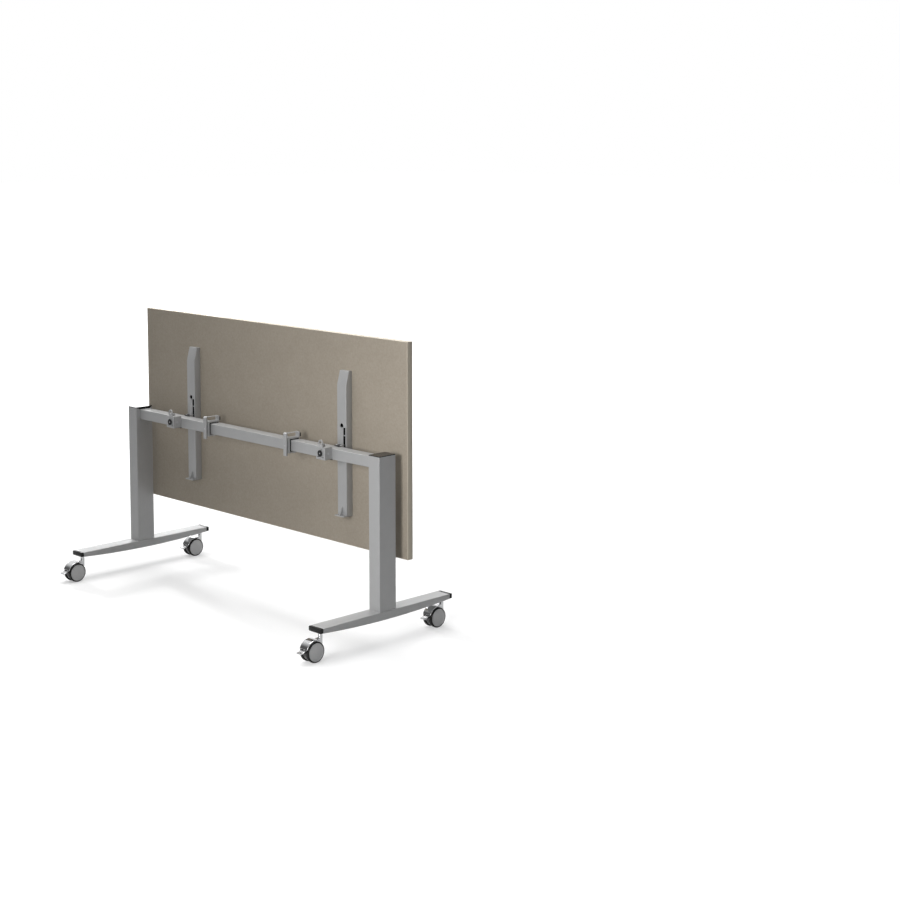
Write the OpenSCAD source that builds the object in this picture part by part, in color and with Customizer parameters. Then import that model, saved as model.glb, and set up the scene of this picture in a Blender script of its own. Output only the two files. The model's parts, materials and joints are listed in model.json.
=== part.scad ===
// Flip top training table, stored position: the top hangs upright behind the crossbar.
// X runs along the table, Y from the user's side to the back, Z up. Millimetres.

/* [Tabletop] */
// Length of the top
top_l = 1600; // [1300:10:2000]
// Depth of the top, which is its height while it stands upright
top_d = 800; // [700:10:900]
// Thickness of the board
top_t = 25; // [19:1:30]
// Thickness of the edge band
band_t = 2; // [1:0.5:3]
// How far the middle of the top lies above the hinge axis
top_lift = 18.6; // [0:0.1:40]

/* [Posts] */
// Distance between the middles of the posts
post_span = 1500; // [1200:10:1700]
// Width of a post along the table
post_w = 57; // [50:1:70]
// Depth of a post
post_d = 80; // [70:1:100]
// Wall of a post
post_wall = 2; // [1.5:0.5:3]
// Corner radius of a post
post_r = 2; // [1:0.5:4]
// Height of the top of a post
post_top = 690; // [640:5:1000]
// Thickness of the plastic cap on a post
cap_t = 3; // [2:0.5:5]

/* [Crossbar] */
// Height of the crossbar section
bar_h = 41; // [35:1:45]
// Depth of the crossbar section
bar_d = 46.5; // [40:0.5:50]
// Wall of the crossbar
bar_wall = 2.5; // [2:0.5:3]
// Corner radius of the crossbar
bar_r = 2; // [1:0.5:3]
// How far the crossbar lies behind the middle of the posts
bar_y = 3; // [0:0.5:6]
// Depth of the crossbar's top face below the top of the posts
bar_drop = 10.5; // [8:0.5:16]

/* [Feet] */
// Length of a foot with its end caps
foot_l = 650; // [560:10:750]
// Width of a foot
foot_w = 65; // [58:1:80]
// Height of a foot's flat top above the floor
foot_top = 120.5; // [116:0.5:130]
// Thickness of a foot at its ends
foot_end_t = 18; // [16:1:22]
// Thickness of a foot at its middle
foot_mid_t = 31; // [24:1:40]
// Wall of a foot
foot_wall = 3; // [2:0.5:4]
// Length of a foot's end cap
foot_cap_l = 14; // [8:1:20]

/* [Casters] */
// Radius of a wheel
wheel_r = 38; // [30:1:40]
// Width over both wheels of a caster
caster_w = 48; // [44:1:56]
// Width of one wheel
wheel_w = 15; // [12:1:17]
// Thickness of the tyre on a wheel
tyre_t = 5; // [3:0.5:8]
// Distance of a stem from the end of its foot
stem_inset = 26; // [20:1:60]
// Distance of the wheel axis behind the stem
trail = 37; // [30:1:42]
// Radius of a stem
stem_r = 5.5; // [4:0.5:6]
// Reach of the brake pedal from the wheel axis
pedal_reach = 61; // [54:1:70]

/* [Support arms] */
// Width of an arm
arm_w = 50; // [46:1:60]
// Depth of an arm
arm_d = 30; // [26:1:34]
// Wall of an arm
arm_wall = 2.5; // [2:0.5:3]
// Length of an arm
arm_l = 544; // [480:2:600]
// Length of the tapered upper end
arm_taper = 54; // [30:1:80]
// Depth of the upper end at its tip
arm_tip_d = 15.6; // [10:0.1:22]
// Distance between the middles of the arms
arm_span = 934; // [700:2:1000]
// How far the pair of arms sits off the middle of the table
arm_shift = 9; // [0:1:20]

/* [Hinges] */
// Distance of the hinge axis behind the crossbar
axis_back = 11.25; // [11:0.25:14]
// Depth of the hinge axis below the crossbar's top face
axis_drop = 3.5; // [2:0.5:6]
// Gap between the hinge axis and the front of an arm
axis_arm = 11.5; // [11:0.5:14]
// Radius of a hinge pin
pin_r = 4; // [3:0.5:4.5]
// Radius of the hinge barrel and lugs
knuckle_r = 8; // [7:0.5:8.5]
// Length of the fixed hinge barrel
barrel_l = 17; // [12:1:18]
// Thickness of a moving lug
lug_t = 5; // [3:0.5:5]

/* [Latches] */
// Depth of a latch box in front of the crossbar
box_d = 36; // [34:1:44]
// Height of a latch box
box_h = 47; // [45:1:52]
// Wall of a latch box
box_wall = 2.5; // [2:0.5:3]
// Radius of the knob
knob_r = 12.5; // [10:0.5:14]
// Thickness of the knob
knob_t = 4.5; // [3:0.5:8]
// Travel of the knob between free and locked
latch_travel = 6; // [5:0.5:7]
// Width of the ring tab
tab_w = 24; // [18:1:28]
// Thickness of the ring tab
tab_t = 4; // [3:0.5:5]
// Height of the ring tab above the latch box
tab_rise = 27; // [18:1:32]
// Radius of the hole in the ring tab
tab_hole_r = 7; // [3:0.5:8]

/* [Rest clamps] */
// Distance between the middles of the clamps
clamp_span = 500; // [300:5:640]
// How far the pair of clamps sits off the middle of the table
clamp_shift = 4; // [0:1:20]
// Width of a clamp
clamp_w = 20; // [16:1:26]
// Thickness of a clamp's metal
clamp_t = 6; // [4:0.5:8]
// Thickness of the rubber liner in a clamp
liner_t = 4; // [3:0.5:5]

/* [Hidden] */
$fn = 64;

// One overrun for every cut, one gap for pieces that only pass each other,
// and one running clearance for a shaft in its bore
over = 1;
gap = 0.5;
running = 0.05;

// Colours
silver = [0.62, 0.62, 0.63];
taupe = [0.52, 0.48, 0.42];
taupe_edge = [0.47, 0.43, 0.37];
black = [0.06, 0.06, 0.06];
chrome = [0.85, 0.86, 0.88];
hub_grey = [0.5, 0.5, 0.51];
rubber = [0.12, 0.12, 0.12];

// Heights and depths that several pieces share
bar_top = post_top - bar_drop;
bar_bottom = bar_top - bar_h;
bar_front = bar_y - bar_d / 2;
bar_back = bar_y + bar_d / 2;
axis_y = bar_back + axis_back;
axis_z = bar_top - axis_drop;
arm_front = axis_y + axis_arm;
board_y = arm_front + arm_d;
board_back = board_y + top_t;
top_z = axis_z + top_lift;
caster_y = foot_l / 2 - stem_inset;

// The object's box is centred on the frame's origin
reach_front = caster_y + trail + pedal_reach;
reach_back = foot_l / 2;
centre_y = (reach_front - reach_back) / 2;

// Middles of the paired pieces: left has the lower X
arm_x = [arm_shift - arm_span / 2, arm_shift + arm_span / 2];
clamp_x = [clamp_shift - clamp_span / 2, clamp_shift + clamp_span / 2];
post_x = [-post_span / 2, post_span / 2];

// Small sizes of the arms
arm_drop_share = 0.48;
arm_low = axis_z - arm_l * arm_drop_share;
end_plate_t = 4;
end_plate_reach = 16;
gusset_t = 3;
gusset_h = 34;
slit_w = 12;
slit_side = 14;
slit_low = 3;
slit_high = 71;
bridge_low = 40;
bridge_h = 3;
arm_screw_r = 2.5;
arm_screw_l = 16;
arm_screw_head_r = 4.5;
arm_screw_head_t = 3;
arm_screw_shares = [0.06, 0.3, 0.62, 0.86];

// Small sizes of the hinges
strap_t = 2.5;
strap_w = 40;
strap_lip = 8;
strap_lip_side = 4;
pin_head_r = 5.5;
pin_head_t = 1.5;
bolt_r = 3;
bolt_head_r = 5;
bolt_head_t = 4;
bolt_side = 14;
bolt_up = 11;

// Small sizes of the latches
box_top = axis_z + axis_arm - gap;
box_bottom = box_top - box_h;
box_front = bar_front - box_d;
knob_z = (box_top + box_bottom) / 2;
spindle_r = 4;
knob_edge = 1.5;
dimple_r = 4;
dimple_d = 1.5;
hook_w = 6;
riser_t = 5;
nose_l = 5.5;
nose_rise = 0.4;
nose_t = 6.5;
hook_hole_r = 8.5;
tab_axis_drop = 6;
tab_pin_r = 1.2;
tab_ear_l = 4;
tab_notch_gap = 0.3;
tab_axis_y = box_front + tab_t / 2;
tab_axis_z = box_top - tab_axis_drop;
guide_r = 2.5;
guide_head_r = 4.5;
guide_head_t = 2;
guide_in = 15.5;
// The hook stands in the middle of the arm's hole once the top is level
hook_set_back = -2;
hole_y = bar_front - box_d / 2 + hook_set_back;
hole_z = axis_z + axis_y - hole_y;
hook_back = hole_y + riser_t;

// Small sizes of the posts and feet
tongue_low = 0.5;
notch_gap = 0.8;
cap_skirt_t = 2.5;
cap_skirt_h = 5;
shelf_t = 6;
base_t = 8;
post_bolt_r = 4;
post_bolt_head_r = 6.5;
post_bolt_head_t = 5;
post_bolt_y = 12;
foot_bolt_r = 5;
foot_bolt_head_r = 8;
foot_bolt_head_t = 5;
foot_bolt_y = 22;
foot_boss_r = 12;
foot_r = 1.5;
foot_plug_l = 12;
foot_bow = foot_mid_t - foot_end_t;
foot_arc_r = (foot_l * foot_l / 4 + foot_bow * foot_bow) / (2 * foot_bow);

// Small sizes of the rest clamps
clamp_web_t = 5.5;
clamp_low = 3;
clamp_back = 8;
upstand_t = 6;
upstand_h = 24;
buffer_t = 5;
buffer_h = 14;
buffer_drop = 4.5;
front_bar_t = 6;
front_bar_w = 17.5;
front_bar_low = 15;
front_bar_high = 26.5;
front_bar_off = 5.4;
front_liner_t = 5.4;
liner_inset = 0.5;
front_bar_r = 1.5;
front_bar_chamfer = 5;
link_w = 10;
link_t = 1.5;
rivet_r = 3.5;
rivet_shoulder_r = 5;
rivet_up = 1;
clamp_screw_r = 2.5;
clamp_screw_head_r = 4.5;
clamp_screw_head_t = 3;
clamp_web_front = bar_front - front_liner_t - clamp_web_t;
clamp_top = bar_top + liner_t;
clamp_floor = bar_bottom - clamp_low;
clamp_end = bar_back - clamp_back;
clamp_rivet_z = (bar_top + bar_bottom) / 2 + rivet_up;
front_bar_y = clamp_web_front - front_bar_off - front_bar_t;

// Small sizes of the casters
neck_r = 8;
neck_wall = 2.5;
neck_up = 19;
gusset_drop = 16;
hood_gap = 2;
hood_t = 3.5;
hood_side = 4;
web_w = 12;
boss_r = 8;
axle_r = 4;
axle_end = 4;
hub_step = 1;
hub_rim = 5;
tyre_edge = 3;
collar_r = 9;
collar_t = 3;
// The collar seats where the bowed underside of the foot is lowest above it
stem_seat = foot_top - foot_mid_t + foot_arc_r
  - sqrt(foot_arc_r * foot_arc_r - pow(caster_y - collar_r, 2));
neck_top = stem_seat - collar_t - gap;
neck_low = wheel_r + neck_up;
pedal_w = 24;
pedal_t = 4;
pedal_arm_t = 1.9;
pedal_axis_in = 26;
pedal_axis_up = 6;
pedal_pin_r = 2.5;
pedal_eye_r = 5;
pedal_tip_up = 2;
fender_low_deg = 20;
fender_high_deg = 118;
wedge_share = 2;

// Helpers: every solid is placed by its own corners
module framed() { translate([0, centre_y, 0]) children(); }
module block(a, b) { translate(a) cube(b - a); }
module rod_x(x0, x1, y, z, r) {
  translate([x0, y, z]) rotate([0, 90, 0]) cylinder(h = x1 - x0, r = r);
}
module rod_y(y0, y1, x, z, r) {
  translate([x, y1, z]) rotate([90, 0, 0]) cylinder(h = y1 - y0, r = r);
}
module rod_z(z0, z1, x, y, r) { translate([x, y, z0]) cylinder(h = z1 - z0, r = r); }
module prism_x(x0, x1) {
  translate([x0, 0, 0]) rotate([90, 0, 90]) linear_extrude(x1 - x0) children();
}
module prism_y(y0, y1) {
  translate([0, y1, 0]) rotate([90, 0, 0]) linear_extrude(y1 - y0) children();
}
module rounded(w, h, r) {
  square([w - 2 * r, h], center = true);
  square([w, h - 2 * r], center = true);
  for (i = [-1, 1], j = [-1, 1])
    translate([i * (w / 2 - r), j * (h / 2 - r)]) circle(r = r);
}

// The board, with pilot holes for the arms' screws
module tabletop() {
  color(taupe) framed() difference() {
    block([-top_l / 2 + band_t, board_y, top_z - top_d / 2 + band_t],
          [top_l / 2 - band_t, board_back, top_z + top_d / 2 - band_t]);
    for (x = arm_x, s = arm_screw_shares)
      rod_y(board_y - over, board_y + arm_screw_l, x, arm_low + arm_l * s, arm_screw_r);
  }
}
module edge_band() {
  color(taupe_edge) framed() prism_y(board_y, board_back)
    translate([0, top_z]) difference() {
      rounded(top_l, top_d, band_t);
      square([top_l - 2 * band_t, top_d - 2 * band_t], center = true);
    }
}

// A closed box section with a tapered upper end, seen from its side
module arm_side(inset) {
  low = arm_low - (inset > 0 ? over : 0);
  taper_z = arm_low + arm_l - arm_taper;
  tip_z = arm_low + arm_l - inset;
  polygon([
    [arm_front + inset, low], [board_y - inset, low], [board_y - inset, tip_z],
    [board_y - arm_tip_d + inset, tip_z], [arm_front + inset, taper_z]
  ]);
}
module support_arm(i) {
  x = arm_x[i];
  color(silver) framed() difference() {
    union() {
      difference() {
        prism_x(x - arm_w / 2, x + arm_w / 2) arm_side(0);
        prism_x(x - arm_w / 2 + arm_wall, x + arm_w / 2 - arm_wall) arm_side(arm_wall);
      }
      for (s = [-1, 1]) arm_lug(x + s * (barrel_l / 2 + gap + lug_t / 2));
    }
    rod_y(arm_front - over, arm_front + arm_wall + over, x, hole_z, hook_hole_r);
    arm_slit(x + slit_side, axis_z - slit_low, axis_z + bridge_low);
    arm_slit(x + slit_side, axis_z + bridge_low + bridge_h, axis_z + slit_high);
    for (s = arm_screw_shares)
      rod_y(board_y - arm_wall - over, board_y + over, x, arm_low + arm_l * s, arm_screw_r);
    rod_x(x - arm_w, x + arm_w, axis_y, axis_z, pin_r);
  }
}
module arm_slit(x, z0, z1) {
  block([x - slit_w / 2, arm_front - over, z0], [x + slit_w / 2, arm_front + arm_wall + over, z1]);
}
module arm_lug(x) {
  rod_x(x - lug_t / 2, x + lug_t / 2, axis_y, axis_z, knuckle_r);
  block([x - lug_t / 2, axis_y, axis_z - knuckle_r],
        [x + lug_t / 2, arm_front + arm_wall / 2, axis_z + knuckle_r]);
}
module arm_end_plate(i) {
  x = arm_x[i];
  color(silver) framed() {
    block([x - arm_w / 2, arm_front - end_plate_reach, arm_low - end_plate_t],
          [x + arm_w / 2, board_y, arm_low]);
    prism_x(x - gusset_t / 2, x + gusset_t / 2) polygon([
      [arm_front - end_plate_reach, arm_low], [arm_front, arm_low],
      [arm_front, arm_low + gusset_h]
    ]);
  }
}
module arm_screws() {
  head_y = board_y - arm_wall - arm_screw_head_t;
  color(chrome) framed() for (x = arm_x, s = arm_screw_shares) {
    z = arm_low + arm_l * s;
    rod_y(head_y, board_y - arm_wall, x, z, arm_screw_head_r);
    rod_y(board_y - arm_wall - arm_screw_head_t / 2, board_y + arm_screw_l, x, z, arm_screw_r);
  }
}
module hinge_pins() {
  half = barrel_l / 2 + gap + lug_t;
  color(chrome) framed() for (x = arm_x) {
    rod_x(x - half, x + half, axis_y, axis_z, pin_r);
    rod_x(x - half - pin_head_t, x - half, axis_y, axis_z, pin_head_r);
    rod_x(x + half, x + half + pin_head_t, axis_y, axis_z, pin_head_r);
  }
}

// A folded bracket under and behind the crossbar that carries the fixed barrel
module hinge_bracket(i) {
  x = arm_x[i];
  a = x - strap_w / 2;
  b = x + strap_w / 2;
  color(black) framed() difference() {
    union() {
      block([x - strap_lip_side, bar_back - strap_lip, bar_top], [b, bar_back + strap_t, bar_top + strap_t]);
      block([a, bar_front, bar_bottom - strap_t], [b, bar_back + strap_t, bar_bottom]);
      block([a, bar_back, bar_bottom - strap_t / 2], [b, bar_back + strap_t, bar_top + strap_t / 2]);
      rod_x(x - barrel_l / 2, x + barrel_l / 2, axis_y, axis_z, knuckle_r);
      block([x - barrel_l / 2, bar_back + strap_t / 2, axis_z - knuckle_r],
            [x + barrel_l / 2, axis_y, bar_top + strap_t]);
    }
    rod_x(a - over, b + over, axis_y, axis_z, pin_r + running);
    hinge_bolt_holes(x);
  }
}
module hinge_bolt_holes(x) {
  for (s = [-1, 1])
    rod_y(box_front, axis_y, x + s * bolt_side, bar_bottom + bolt_up, bolt_r);
}
module hinge_bolts() {
  color(chrome) framed() for (x = arm_x, s = [-1, 1]) {
    bx = x + s * bolt_side;
    bz = bar_bottom + bolt_up;
    rod_y(bar_front - box_wall - bolt_head_t, bar_front - box_wall, bx, bz, bolt_head_r);
    rod_y(bar_front - box_wall - bolt_head_t / 2, bar_back + strap_t + bolt_head_t, bx, bz, bolt_r);
    rod_y(bar_back + strap_t, bar_back + strap_t + bolt_head_t, bx, bz, bolt_head_r);
  }
}

// A box bolted to the front of the crossbar, which holds the latch and carries the level top
module latch_box(i) {
  x = arm_x[i];
  a = x - arm_w / 2;
  b = x + arm_w / 2;
  color(silver) framed() difference() {
    union() {
      difference() {
        block([a, box_front, box_bottom], [b, bar_front, box_top]);
        block([a + box_wall, box_front + box_wall, box_bottom + box_wall],
              [b - box_wall, bar_front - box_wall, box_top - box_wall]);
      }
      for (s = [-1, 1]) tab_ear(x + s * (tab_w / 2 + tab_notch_gap + tab_ear_l / 2));
    }
    tab_notch(x);
    rod_x(a, b, tab_axis_y, tab_axis_z, tab_pin_r);
    rod_y(box_front - over, box_front + box_wall + over, x, knob_z, spindle_r + running);
    rod_x(b - box_wall - over, b + over, box_front + guide_in, knob_z, guide_r);
    block([x - hook_w / 2 - gap, hook_back - riser_t - nose_l - latch_travel - gap,
           box_top - box_wall - over],
          [x + hook_w / 2 + gap, hook_back + gap, box_top + over]);
    hinge_bolt_holes(x);
  }
}
module tab_ear(x) { rod_x(x - tab_ear_l / 2, x + tab_ear_l / 2, tab_axis_y, tab_axis_z, tab_t / 2); }
module tab_notch(x) {
  half = tab_w / 2 + tab_notch_gap;
  block([x - half, box_front - over, tab_axis_z - tab_t / 2 - tab_notch_gap],
        [x + half, box_front + tab_t + tab_notch_gap, box_top + over]);
}
module guide_screws() {
  color(chrome) framed() for (x = arm_x) {
    side = x + arm_w / 2;
    rod_x(side - box_wall - guide_head_t, side + guide_head_t / 2, box_front + guide_in, knob_z,
          guide_r);
    rod_x(side, side + guide_head_t, box_front + guide_in, knob_z, guide_head_r);
  }
}
module tab_pins() {
  half = tab_w / 2 + tab_notch_gap + tab_ear_l;
  color(chrome) framed() for (x = arm_x)
    rod_x(x - half, x + half, tab_axis_y, tab_axis_z, tab_pin_r);
}
module ring_tab(i) {
  x = arm_x[i];
  ring_z = box_top + tab_rise - tab_w / 2;
  color(silver) framed() difference() {
    union() {
      rod_y(box_front, box_front + tab_t, x, ring_z, tab_w / 2);
      block([x - tab_w / 2, box_front, tab_axis_z], [x + tab_w / 2, box_front + tab_t, ring_z]);
      rod_x(x - tab_w / 2, x + tab_w / 2, tab_axis_y, tab_axis_z, tab_t / 2);
    }
    rod_y(box_front - over, box_front + tab_t + over, x, ring_z, tab_hole_r);
    rod_x(x - tab_w, x + tab_w, tab_axis_y, tab_axis_z, tab_pin_r + running);
  }
}
module latch_knob(i) {
  y = box_front - gap;
  color(black) framed() translate([arm_x[i], y, knob_z]) rotate([90, 0, 0]) rotate_extrude()
    difference() {
      union() {
        square([knob_r, knob_t - knob_edge]);
        square([knob_r - knob_edge, knob_t]);
        translate([knob_r - knob_edge, knob_t - knob_edge]) circle(r = knob_edge);
      }
      translate([0, knob_t - dimple_d]) square([dimple_r, dimple_d + over]);
      translate([-knob_r, -over]) square([knob_r, knob_t + 2 * over]);
      square([spindle_r, knob_t / 2]);
    }
}
module latch_hook(i) {
  x = arm_x[i];
  front = hook_back - riser_t;
  tip_z = axis_z + axis_arm + arm_wall + nose_rise;
  color(chrome) framed() {
    rod_y(box_front - gap - knob_t / 2, hook_back, x, knob_z, spindle_r);
    block([x - hook_w / 2, front, knob_z], [x + hook_w / 2, hook_back, tip_z + nose_t]);
    block([x - hook_w / 2, front - nose_l, tip_z], [x + hook_w / 2, front + riser_t / 2, tip_z + nose_t]);
  }
}

// The crossbar is one tube that ends inside both posts
module crossbar() {
  end = post_span / 2 + post_w / 2 - post_wall - gap;
  color(silver) framed() difference() {
    prism_x(-end, end) translate([bar_y, (bar_top + bar_bottom) / 2]) difference() {
      rounded(bar_d, bar_h, bar_r);
      square([bar_d - 2 * bar_wall, bar_h - 2 * bar_wall], center = true);
    }
    for (x = arm_x) hinge_bolt_holes(x);
    for (x = post_x, s = [-1, 1])
      rod_z(bar_bottom - over, bar_top + over, x, bar_y + s * post_bolt_y, post_bolt_r);
    for (x = clamp_x) rod_z(bar_bottom - over, bar_bottom + bar_wall + over, x, bar_y, clamp_screw_r);
  }
}

// The opening at the head of a post: a window for the crossbar that widens to the top edge
module head_opening() {
  front = bar_front - notch_gap;
  back = bar_back + notch_gap;
  polygon([
    [front, bar_bottom], [back, bar_bottom], [back, bar_top + tongue_low],
    [post_d / 2, post_top - cap_t], [-post_d / 2, post_top - cap_t], [front, bar_top + tongue_low]
  ]);
}
module post(i) {
  x = post_x[i];
  inward = i == 0 ? 1 : -1;
  face = x + inward * post_w / 2;
  a = min(face - inward * post_wall * 2, face + inward * over);
  b = max(face - inward * post_wall * 2, face + inward * over);
  color(silver) framed() difference() {
    union() {
      translate([x, 0, foot_top]) linear_extrude(post_top - cap_t - foot_top) difference() {
        rounded(post_w, post_d, post_r);
        square([post_w - 2 * post_wall, post_d - 2 * post_wall], center = true);
      }
      post_plate(x, foot_top, foot_top + base_t);
      post_plate(x, bar_bottom - shelf_t, bar_bottom);
    }
    prism_x(a, b) head_opening();
    for (s = [-1, 1]) {
      rod_z(bar_bottom - shelf_t - over, bar_bottom + over, x, bar_y + s * post_bolt_y, post_bolt_r);
      rod_z(foot_top - over, foot_top + base_t + over, x, s * foot_bolt_y, foot_bolt_r);
    }
  }
}
module post_plate(x, z0, z1) {
  half = [post_w / 2 - post_wall / 2, post_d / 2 - post_wall / 2];
  block([x - half[0], -half[1], z0], [x + half[0], half[1], z1]);
}
module post_cap(i) {
  x = post_x[i];
  inward = i == 0 ? 1 : -1;
  face = x + inward * post_w / 2;
  a = min(face, face - inward * post_wall);
  b = max(face, face - inward * post_wall);
  inner = [post_w - 2 * post_wall, post_d - 2 * post_wall];
  color(black) framed() {
    translate([x, 0, post_top - cap_t]) linear_extrude(cap_t) rounded(post_w, post_d, post_r);
    translate([x, 0, post_top - cap_t - cap_skirt_h]) linear_extrude(cap_skirt_h) difference() {
      square(inner, center = true);
      square([inner[0] - 2 * cap_skirt_t, inner[1] - 2 * cap_skirt_t], center = true);
    }
    prism_x(a, b) intersection() {
      head_opening();
      translate([-post_d / 2, bar_top + tongue_low]) square([post_d, post_top]);
    }
  }
}
module post_bolts() {
  color(chrome) framed() for (x = post_x, s = [-1, 1]) {
    y = bar_y + s * post_bolt_y;
    rod_z(bar_bottom - shelf_t, bar_top + post_bolt_head_t / 2, x, y, post_bolt_r);
    rod_z(bar_top, bar_top + post_bolt_head_t, x, y, post_bolt_head_r);
  }
}

// A foot: flat on top, bowed underneath, closed by plastic caps
module foot_side(inset) {
  intersection() {
    translate([-foot_l / 2, foot_top - foot_mid_t]) square([foot_l, foot_mid_t - inset]);
    translate([0, foot_top - foot_mid_t + foot_arc_r]) circle(r = foot_arc_r - inset, $fn = 720);
  }
}
module foot(i) {
  x = post_x[i];
  end = foot_l / 2 - foot_cap_l;
  color(silver) framed() difference() {
    intersection() {
      union() {
        difference() {
          prism_x(x - foot_w / 2, x + foot_w / 2) foot_side(0);
          prism_x(x - foot_w / 2 + foot_wall, x + foot_w / 2 - foot_wall) foot_side(foot_wall);
        }
        intersection() {
          prism_x(x - foot_boss_r, x + foot_boss_r) foot_side(0);
          for (s = [-1, 1]) {
            rod_z(0, foot_top, x, s * caster_y, foot_boss_r);
            rod_z(0, foot_top, x, s * foot_bolt_y, foot_boss_r);
          }
        }
      }
      block([x - foot_w, -end, 0], [x + foot_w, end, foot_top]);
    }
    for (s = [-1, 1]) {
      rod_z(0, foot_top - foot_wall, x, s * caster_y, stem_r);
      rod_z(0, foot_top + over, x, s * foot_bolt_y, foot_bolt_r);
      rod_z(0, foot_top - foot_mid_t + foot_bolt_head_t, x, s * foot_bolt_y, foot_bolt_head_r);
    }
  }
}
module foot_end_caps() {
  end = foot_l / 2;
  color(black) framed() for (x = post_x, s = [-1, 1]) {
    intersection() {
      prism_x(x - foot_w / 2, x + foot_w / 2) foot_side(0);
      block([x - foot_w, s > 0 ? end - foot_cap_l : -end, 0],
            [x + foot_w, s > 0 ? end : foot_cap_l - end, foot_top]);
    }
    foot_prongs(x, s);
  }
}
// Two prongs hold an end cap inside the foot, one on each side of the caster's boss
module foot_prongs(x, s) {
  deep = foot_l / 2 - foot_cap_l - foot_plug_l;
  root = foot_l / 2 - foot_cap_l / 2;
  wall = foot_w / 2 - foot_wall;
  for (t = [-1, 1]) intersection() {
    prism_x(t > 0 ? x + foot_boss_r + gap : x - wall, t > 0 ? x + wall : x - foot_boss_r - gap)
      foot_side(foot_wall);
    block([x - foot_w, s > 0 ? deep : -root, 0], [x + foot_w, s > 0 ? root : -deep, foot_top]);
  }
}
module foot_bolts() {
  low = foot_top - foot_mid_t;
  color(chrome) framed() for (x = post_x, s = [-1, 1]) {
    rod_z(low + foot_bolt_head_t / 2, foot_top + base_t, x, s * foot_bolt_y, foot_bolt_r);
    rod_z(low + gap, low + foot_bolt_head_t, x, s * foot_bolt_y, foot_bolt_head_r);
  }
}

// A clamp: a C that wraps the crossbar, and a thin link to the upright bar in front of it
module clamp_jaw(i) {
  x = clamp_x[i];
  a = x - clamp_w / 2;
  b = x + clamp_w / 2;
  color(silver) framed() difference() {
    union() {
      block([a, clamp_web_front, clamp_floor - clamp_t],
            [b, clamp_web_front + clamp_web_t, clamp_top + clamp_t]);
      block([a, clamp_web_front, clamp_top], [b, clamp_end + upstand_t, clamp_top + clamp_t]);
      block([a, clamp_web_front, clamp_floor - clamp_t], [b, clamp_end + upstand_t, clamp_floor]);
      block([a, clamp_end, clamp_top], [b, clamp_end + upstand_t, clamp_top + upstand_h]);
      block([x - link_w / 2, front_bar_y + front_bar_t, clamp_top + upstand_h - link_t],
            [x + link_w / 2, clamp_end + upstand_t / 2, clamp_top + upstand_h]);
    }
    rod_y(clamp_web_front - over, bar_front, x, clamp_rivet_z, rivet_r);
    rod_z(clamp_floor - clamp_t - over, clamp_floor + over, x, bar_y, clamp_screw_r);
  }
}
module clamp_bar(i) {
  x = clamp_x[i];
  z0 = clamp_floor - front_bar_low;
  z1 = clamp_top + front_bar_high;
  color(silver) framed() difference() {
    prism_y(front_bar_y, front_bar_y + front_bar_t)
      translate([x, (z0 + z1) / 2]) rounded(front_bar_w, z1 - z0, front_bar_r);
    rod_y(front_bar_y - over, clamp_web_front, x, clamp_rivet_z, rivet_r);
    prism_x(x - front_bar_w, x + front_bar_w) polygon([
      [front_bar_y - over, z1 - front_bar_chamfer - over], [front_bar_y - over, z1 + over],
      [front_bar_y + front_bar_chamfer + over, z1 + over]
    ]);
  }
}
// A rivet, flush in front, with a shoulder that keeps the bar off the jaw
module clamp_rivets() {
  color(chrome) framed() for (x = clamp_x) {
    rod_y(front_bar_y, clamp_web_front + clamp_web_t, x, clamp_rivet_z, rivet_r);
    rod_y(front_bar_y + front_bar_t, clamp_web_front, x, clamp_rivet_z, rivet_shoulder_r);
  }
}
module clamp_liners() {
  front = bar_front - front_liner_t;
  color(rubber) framed() for (x = clamp_x) {
    a = x - clamp_w / 2 + liner_inset;
    b = x + clamp_w / 2 - liner_inset;
    difference() {
      union() {
        block([a, front, clamp_floor], [b, bar_front, clamp_top]);
        block([a, front, bar_top], [b, clamp_end, clamp_top]);
        block([a, front, clamp_floor], [b, clamp_end, bar_bottom]);
      }
      rod_z(clamp_floor - over, bar_bottom + over, x, bar_y, clamp_screw_r);
    }
  }
}
module clamp_buffers() {
  z1 = clamp_top + upstand_h - buffer_drop;
  color(rubber) framed() for (x = clamp_x)
    block([x - clamp_w / 2, clamp_end + upstand_t, z1 - buffer_h],
          [x + clamp_w / 2, clamp_end + upstand_t + buffer_t, z1]);
}
module clamp_screws() {
  z = clamp_floor - clamp_t;
  color(chrome) framed() for (x = clamp_x) {
    rod_z(z - clamp_screw_head_t, z, x, bar_y, clamp_screw_head_r);
    rod_z(z - clamp_screw_head_t / 2, bar_bottom + bar_wall, x, bar_y, clamp_screw_r);
  }
}

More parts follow.
